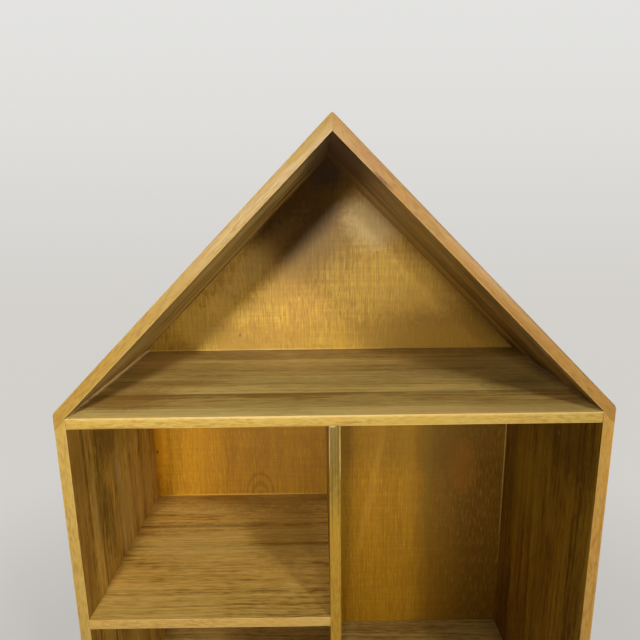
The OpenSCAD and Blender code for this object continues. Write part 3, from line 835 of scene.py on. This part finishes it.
# The arches of a heartwood figure, low in the left bay.
arch = add_node(tree, "Mapping", {
    "Vector": swayed, "Location": (-0.137, 0, 0.316), "Scale": (0.025, 1, 0.046),
}, vector_type="TEXTURE").outputs[0]
arch = add_node(tree, "VectorMath", {0: arch}, operation="LENGTH").outputs["Value"]
ripple = rise(tree, calc(tree, "SINE", calc(tree, "MULTIPLY", arch, 13.0)), -0.3, 0.9)
ripple = calc(tree, "MULTIPLY", ripple, rise(tree, arch, 1.3, 1.05, 0.0, 0.45))
colour = stain(tree, ripple, colour, (0.18, 0.07, 0.002, 1))
colour = lay_marks(tree, colour, where, [
    ((-0.15, back_face, attic_top), (0.26, 0.003, 0.0032), (0.85, 0.6, 0.16), 0.7, 0),
    ((-0.19, back_face, shelf_top), (0.2, 0.003, 0.0032), (0.72, 0.42, 0.07), 0.6, 0),
    # Painted light: lifts the shadow the left side casts on the left end of the left bay.
    ((-0.335, back_face, 0.45), (0.016, 0.003, 0.14), (0.85, 0.38, 0.012), 0.7, 0),
    ((0.19, back_face, 0.7735), (0.2, 0.003, 0.0022), (0.85, 0.66, 0.32), 0.25, 45),
    ((-0.19, back_face, 0.7735), (0.17, 0.003, 0.0022), (0.8, 0.6, 0.25), 0.2, -45),
    # Painted highlight: a whiter sheen high on the right of the attic.
    ((0.085, back_face, 0.856), (0.06, 0.003, 0.055), (0.82, 0.62, 0.28), 0.55, 20),
    # Painted shade and painted light on either side of the left roof's shadow edge, to soften it.
    ((-0.08, back_face, 0.745), (0.14, 0.003, 0.03), (0.36, 0.2, 0.03), 0.35, -45),
    ((-0.14, back_face, 0.775), (0.13, 0.003, 0.03), (0.85, 0.6, 0.2), 0.28, -45),
    ((0.0, back_face, 0.635), (0.3, 0.003, 0.045), (0.36, 0.2, 0.015), 0.45, 0),
    # Painted light, lighter low on the left of the attic.
    ((-0.25, back_face, 0.67), (0.05, 0.003, 0.05), (0.85, 0.54, 0.09), 0.45, 0),
    # Painted light, lighter on the right of the attic.
    ((0.15, back_face, 0.745), (0.15, 0.003, 0.07), (0.8, 0.5, 0.08), 0.28, 0),
    ((-0.18, back_face, 0.635), (0.05, 0.003, 0.035), (0.36, 0.2, 0.015), 0.5, 0),
    # Painted light inside the left roof's shadow.
    ((-0.2, back_face, 0.7), (0.035, 0.003, 0.03), (0.9, 0.58, 0.1), 0.5, 0),
    # Painted shade at the top of the right bay, under the attic floor.
    ((0.18, back_face, 0.43), (0.22, 0.003, 0.07), (0.2, 0.095, 0.002), 0.45, 0),
    ((inside, back_face, 0.4), (0.0024, 0.003, 0.3), (0.55, 0.36, 0.06), 0.6, 0),
    # Painted light, slightly lighter in the left bay.
    ((-0.25, back_face, 0.4), (0.045, 0.003, 0.12), (0.66, 0.31, 0.012), 0.15, 0),
    ((0.08, back_face, 0.32), (0.009, 0.003, 0.18), (0.56, 0.32, 0.04), 0.22, 10.5),
    ((0.195, back_face, 0.4), (0.011, 0.003, 0.25), (0.23, 0.14, 0.003), 0.5, 0),
    ((0.155, back_face, 0.4), (0.016, 0.003, 0.25), (0.44, 0.25, 0.006), 0.2, 0),
    ((0.265, back_face, 0.37), (0.03, 0.003, 0.07), (0.36, 0.13, 0.003), 0.35, 0),
    # Painted shade in the apex.
    ((0, back_face, 0.945), (0.045, 0.003, 0.04), (0.09, 0.058, 0.05), 0.7, 0),
    # Painted light over the divider's shadow in the right bay.
    ((0.018, back_face, 0.4), (0.015, 0.003, 0.3), (0.6, 0.35, 0.006), 0.4, 0),
    ((-0.34, back_face, 0.414), (0.003, 0.003, 0.004), shade_and_mark_brown, 0.8, 0),
    ((-0.167, back_face, 0.6485), (0.0022, 0.003, 0.004), shade_and_mark_brown, 0.8, 0),
    ((0.259, back_face, 0.296), (0.003, 0.003, 0.004), shade_and_mark_brown, 0.7, 0),
])
raw = stain(tree, strands, (0.5, 0.36, 0.22, 1), (0.66, 0.5, 0.33, 1))
colour = stain(tree, rise(tree, through, back_face + 0.001, back_face + 0.002), colour, raw)
roughness = calc(tree, "MULTIPLY_ADD", dark, 0.4, 0.34)
relief = calc(tree, "MULTIPLY", dashes, -0.00005)
bump = add_node(tree, "Bump", {"Height": relief, "Distance": 1.0})
shader = add_node(tree, "BsdfPrincipled", {
    "Base Color": colour, "Roughness": roughness, "Normal": bump.outputs[0],
    "Specular IOR Level": 0.35,
})
tree.links.new(shader.outputs[0], surface)
panel.data.materials.append(plywood)
off_the_bench(panel, "back_panel", slot="back_plywood")


# ---- Dowels and biscuits ----
# Beech dowels join the level boards, the divider and the eaves, and beech biscuits the ridge. They
# are glued into blind holes and slots, and the closed joints hide them.

beech, tree, surface = new_material("beech")
where = add_node(tree, "TexCoord").outputs["Object"]
flecks = grain(tree, where, (90, 90, 400), 3.0)
colour = stain(tree, rise(tree, flecks, 0.35, 0.65), (0.6, 0.42, 0.26, 1), (0.76, 0.6, 0.42, 1))
bump = add_node(tree, "Bump", {"Height": calc(tree, "MULTIPLY", flecks, 0.00003), "Distance": 1.0})
shader = add_node(tree, "BsdfPrincipled", {
    "Base Color": colour, "Roughness": rise(tree, flecks, 0.3, 0.7, 0.5, 0.7),
    "Normal": bump.outputs[0],
})
tree.links.new(shader.outputs[0], surface)


def cover(node, material):
    """Puts a material in every slot of a CAD node that stays as it is."""
    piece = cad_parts[node]
    if not piece.material_slots:
        piece.data.materials.append(material)
    for place in piece.material_slots:
        place.material = material


for node in (
    "ridge_biscuits", "eave_dowels_left", "eave_dowels_right", "shelf_dowels_side",
    "shelf_dowels_divider", "divider_top_dowels", "divider_foot_dowels",
    "bottom_dowels_left", "bottom_dowels_right",
):
    cover(node, beech)


# ---- Back pins and glide nails ----
# Bright steel pins with flat heads are driven through the plywood into the rear edges of all the
# boards, and one clout nail of the same steel goes through each glide into the bottom board.

steel, tree, surface = new_material("bright steel")
where = add_node(tree, "TexCoord").outputs["Object"]
scratches = grain(tree, where, (900, 900, 900), 3.0)
colour = stain(tree, scratches, (0.42, 0.42, 0.43, 1), (0.66, 0.66, 0.66, 1))
shader = add_node(tree, "BsdfPrincipled", {
    "Base Color": colour, "Metallic": 1.0, "Roughness": rise(tree, scratches, 0.3, 0.7, 0.28, 0.5),
})
tree.links.new(shader.outputs[0], surface)
cover("back_panel_pins", steel)
cover("glide_nails", steel)


# ---- Floor glides ----
# Six moulded discs of dark plastic carry the case on the floor. Each is nailed under the bottom
# board, and its recess keeps the nail's head off the floor.

glide_plastic, tree, surface = new_material("glide plastic")
where = add_node(tree, "TexCoord").outputs["Object"]
speckle = grain(tree, where, (1200, 1200, 1200), 3.0)
colour = stain(tree, speckle, (0.09, 0.08, 0.075, 1), (0.15, 0.14, 0.13, 1))
bump = add_node(tree, "Bump", {"Height": calc(tree, "MULTIPLY", speckle, 0.00003), "Distance": 1.0})
shader = add_node(tree, "BsdfPrincipled", {
    "Base Color": colour, "Roughness": rise(tree, speckle, 0.3, 0.7, 0.5, 0.65),
    "Normal": bump.outputs[0],
})
tree.links.new(shader.outputs[0], surface)
cover("floor_glides", glide_plastic)


# ---- Sizes ----
# The box of the dressed case is taken, leaving out the backdrop. The visible boards have their
# nodes' sizes.

low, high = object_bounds()
